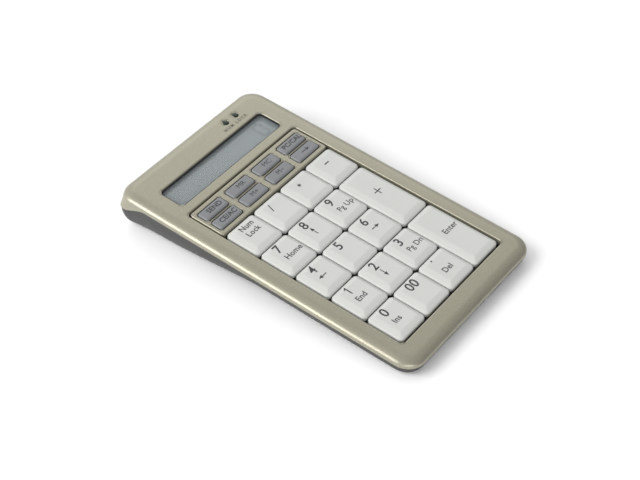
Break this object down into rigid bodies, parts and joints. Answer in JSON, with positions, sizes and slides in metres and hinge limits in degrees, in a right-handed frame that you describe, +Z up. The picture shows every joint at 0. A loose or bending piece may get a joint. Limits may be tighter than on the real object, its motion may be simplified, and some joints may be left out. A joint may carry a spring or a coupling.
{
  "type": "numeric keypad",
  "caption": "Flat desktop numeric keypad with calculator display, pressable keycaps on scissor lifts and a row of function buttons in a thin wedge case.",
  "frame": {"origin": "middle of the bounding box at the height of the table that the feet stand on", "axes": "+X to the user's right, +Y from the user towards the display end, +Z up; the key plane leans 4.6 degrees towards the user"},
  "size_m": [0.096, 0.1616, 0.021],
  "materials": {
    "cover_plastic": "satin champagne grey moulding",
    "base_plastic": "fine textured dark grey moulding",
    "key_plastic": "satin off-white moulding",
    "button_plastic": "satin blue-grey moulding",
    "link_plastic": "natural acetal",
    "lens": "clear polished acrylic",
    "display_glass": "reflective liquid crystal cell",
    "rubber": "dark silicone rubber",
    "indicator": "dark green translucent",
    "steel": "plated steel",
    "film": "polyester film with printed tracks",
    "board": "green solder mask",
    "component": "moulded black package",
    "screw": "zinc plated steel",
    "foot": "soft black rubber"
  },
  "bodies": {
    "case": {"top_cover": "cover_plastic", "bottom_cover": "base_plastic", "function_panel": "cover_plastic", "display_lens": "lens", "lcd_panel": "display_glass", "elastomer_strips": "rubber", "indicator_lenses": "indicator", "key_plate": "steel", "dome_sheet": "rubber", "membrane_circuit": "film", "button_mat": "rubber", "circuit_board": "board", "board_components": "component", "usb_socket": "steel", "case_screws": "screw", "rubber_feet": "foot", "scissor_0": "link_plastic", "scissor_00": "link_plastic", "scissor_decimal": "link_plastic", "scissor_1": "link_plastic", "scissor_2": "link_plastic", "scissor_3": "link_plastic", "scissor_enter": "link_plastic", "scissor_4": "link_plastic", "scissor_5": "link_plastic", "scissor_6": "link_plastic", "scissor_7": "link_plastic", "scissor_8": "link_plastic", "scissor_9": "link_plastic", "scissor_plus": "link_plastic", "scissor_num_lock": "link_plastic", "scissor_divide": "link_plastic", "scissor_multiply": "link_plastic", "scissor_minus": "link_plastic"},
    "key_0": {"key_0": "key_plastic"},
    "key_00": {"key_00": "key_plastic"},
    "key_decimal": {"key_decimal": "key_plastic"},
    "key_1": {"key_1": "key_plastic"},
    "key_2": {"key_2": "key_plastic"},
    "key_3": {"key_3": "key_plastic"},
    "key_enter": {"key_enter": "key_plastic"},
    "key_4": {"key_4": "key_plastic"},
    "key_5": {"key_5": "key_plastic"},
    "key_6": {"key_6": "key_plastic"},
    "key_7": {"key_7": "key_plastic"},
    "key_8": {"key_8": "key_plastic"},
    "key_9": {"key_9": "key_plastic"},
    "key_plus": {"key_plus": "key_plastic"},
    "key_num_lock": {"key_num_lock": "key_plastic"},
    "key_divide": {"key_divide": "key_plastic"},
    "key_multiply": {"key_multiply": "key_plastic"},
    "key_minus": {"key_minus": "key_plastic"},
    "button_clear": {"button_clear": "button_plastic"},
    "button_memory_add": {"button_memory_add": "button_plastic"},
    "button_memory_subtract": {"button_memory_subtract": "button_plastic"},
    "button_arrow": {"button_arrow": "button_plastic"},
    "button_send": {"button_send": "button_plastic"},
    "button_memory_recall": {"button_memory_recall": "button_plastic"},
    "button_memory_clear": {"button_memory_clear": "button_plastic"},
    "button_mode": {"button_mode": "button_plastic"}
  },
  "joints": [
    {"name": "key_0_press", "type": "slide", "parent": "case", "child": "key_0", "axis": [0, 0.0802, -0.9968], "range_m": [0, 0.002], "stiffness_N_per_m": 260, "springref_m": -0.0022, "deforming": ["scissor_0", "dome_sheet"]},
    {"name": "key_00_press", "type": "slide", "parent": "case", "child": "key_00", "axis": [0, 0.0802, -0.9968], "range_m": [0, 0.002], "stiffness_N_per_m": 260, "springref_m": -0.0022, "deforming": ["scissor_00", "dome_sheet"]},
    {"name": "key_decimal_press", "type": "slide", "parent": "case", "child": "key_decimal", "axis": [0, 0.0802, -0.9968], "range_m": [0, 0.002], "stiffness_N_per_m": 260, "springref_m": -0.0022, "deforming": ["scissor_decimal", "dome_sheet"]},
    {"name": "key_1_press", "type": "slide", "parent": "case", "child": "key_1", "axis": [0, 0.0802, -0.9968], "range_m": [0, 0.002], "stiffness_N_per_m": 260, "springref_m": -0.0022, "deforming": ["scissor_1", "dome_sheet"]},
    {"name": "key_2_press", "type": "slide", "parent": "case", "child": "key_2", "axis": [0, 0.0802, -0.9968], "range_m": [0, 0.002], "stiffness_N_per_m": 260, "springref_m": -0.0022, "deforming": ["scissor_2", "dome_sheet"]},
    {"name": "key_3_press", "type": "slide", "parent": "case", "child": "key_3", "axis": [0, 0.0802, -0.9968], "range_m": [0, 0.002], "stiffness_N_per_m": 260, "springref_m": -0.0022, "deforming": ["scissor_3", "dome_sheet"]},
    {"name": "key_enter_press", "type": "slide", "parent": "case", "child": "key_enter", "axis": [0, 0.0802, -0.9968], "range_m": [0, 0.002], "stiffness_N_per_m": 260, "springref_m": -0.0022, "deforming": ["scissor_enter", "dome_sheet"]},
    {"name": "key_4_press", "type": "slide", "parent": "case", "child": "key_4", "axis": [0, 0.0802, -0.9968], "range_m": [0, 0.002], "stiffness_N_per_m": 260, "springref_m": -0.0022, "deforming": ["scissor_4", "dome_sheet"]},
    {"name": "key_5_press", "type": "slide", "parent": "case", "child": "key_5", "axis": [0, 0.0802, -0.9968], "range_m": [0, 0.002], "stiffness_N_per_m": 260, "springref_m": -0.0022, "deforming": ["scissor_5", "dome_sheet"]},
    {"name": "key_6_press", "type": "slide", "parent": "case", "child": "key_6", "axis": [0, 0.0802, -0.9968], "range_m": [0, 0.002], "stiffness_N_per_m": 260, "springref_m": -0.0022, "deforming": ["scissor_6", "dome_sheet"]},
    {"name": "key_7_press", "type": "slide", "parent": "case", "child": "key_7", "axis": [0, 0.0802, -0.9968], "range_m": [0, 0.002], "stiffness_N_per_m": 260, "springref_m": -0.0022, "deforming": ["scissor_7", "dome_sheet"]},
    {"name": "key_8_press", "type": "slide", "parent": "case", "child": "key_8", "axis": [0, 0.0802, -0.9968], "range_m": [0, 0.002], "stiffness_N_per_m": 260, "springref_m": -0.0022, "deforming": ["scissor_8", "dome_sheet"]},
    {"name": "key_9_press", "type": "slide", "parent": "case", "child": "key_9", "axis": [0, 0.0802, -0.9968], "range_m": [0, 0.002], "stiffness_N_per_m": 260, "springref_m": -0.0022, "deforming": ["scissor_9", "dome_sheet"]},
    {"name": "key_plus_press", "type": "slide", "parent": "case", "child": "key_plus", "axis": [0, 0.0802, -0.9968], "range_m": [0, 0.002], "stiffness_N_per_m": 260, "springref_m": -0.0022, "deforming": ["scissor_plus", "dome_sheet"]},
    {"name": "key_num_lock_press", "type": "slide", "parent": "case", "child": "key_num_lock", "axis": [0, 0.0802, -0.9968], "range_m": [0, 0.002], "stiffness_N_per_m": 260, "springref_m": -0.0022, "deforming": ["scissor_num_lock", "dome_sheet"]},
    {"name": "key_divide_press", "type": "slide", "parent": "case", "child": "key_divide", "axis": [0, 0.0802, -0.9968], "range_m": [0, 0.002], "stiffness_N_per_m": 260, "springref_m": -0.0022, "deforming": ["scissor_divide", "dome_sheet"]},
    {"name": "key_multiply_press", "type": "slide", "parent": "case", "child": "key_multiply", "axis": [0, 0.0802, -0.9968], "range_m": [0, 0.002], "stiffness_N_per_m": 260, "springref_m": -0.0022, "deforming": ["scissor_multiply", "dome_sheet"]},
    {"name": "key_minus_press", "type": "slide", "parent": "case", "child": "key_minus", "axis": [0, 0.0802, -0.9968], "range_m": [0, 0.002], "stiffness_N_per_m": 260, "springref_m": -0.0022, "deforming": ["scissor_minus", "dome_sheet"]},
    {"name": "button_clear_press", "type": "slide", "parent": "case", "child": "button_clear", "axis": [0, 0.0802, -0.9968], "range_m": [0, 0.0008], "stiffness_N_per_m": 500, "springref_m": -0.0015, "deforming": ["button_mat"]},
    {"name": "button_memory_add_press", "type": "slide", "parent": "case", "child": "button_memory_add", "axis": [0, 0.0802, -0.9968], "range_m": [0, 0.0008], "stiffness_N_per_m": 500, "springref_m": -0.0015, "deforming": ["button_mat"]},
    {"name": "button_memory_subtract_press", "type": "slide", "parent": "case", "child": "button_memory_subtract", "axis": [0, 0.0802, -0.9968], "range_m": [0, 0.0008], "stiffness_N_per_m": 500, "springref_m": -0.0015, "deforming": ["button_mat"]},
    {"name": "button_arrow_press", "type": "slide", "parent": "case", "child": "button_arrow", "axis": [0, 0.0802, -0.9968], "range_m": [0, 0.0008], "stiffness_N_per_m": 500, "springref_m": -0.0015, "deforming": ["button_mat"]},
    {"name": "button_send_press", "type": "slide", "parent": "case", "child": "button_send", "axis": [0, 0.0802, -0.9968], "range_m": [0, 0.0008], "stiffness_N_per_m": 500, "springref_m": -0.0015, "deforming": ["button_mat"]},
    {"name": "button_memory_recall_press", "type": "slide", "parent": "case", "child": "button_memory_recall", "axis": [0, 0.0802, -0.9968], "range_m": [0, 0.0008], "stiffness_N_per_m": 500, "springref_m": -0.0015, "deforming": ["button_mat"]},
    {"name": "button_memory_clear_press", "type": "slide", "parent": "case", "child": "button_memory_clear", "axis": [0, 0.0802, -0.9968], "range_m": [0, 0.0008], "stiffness_N_per_m": 500, "springref_m": -0.0015, "deforming": ["button_mat"]},
    {"name": "button_mode_press", "type": "slide", "parent": "case", "child": "button_mode", "axis": [0, 0.0802, -0.9968], "range_m": [0, 0.0008], "stiffness_N_per_m": 500, "springref_m": -0.0015, "deforming": ["button_mat"]}
  ]
}
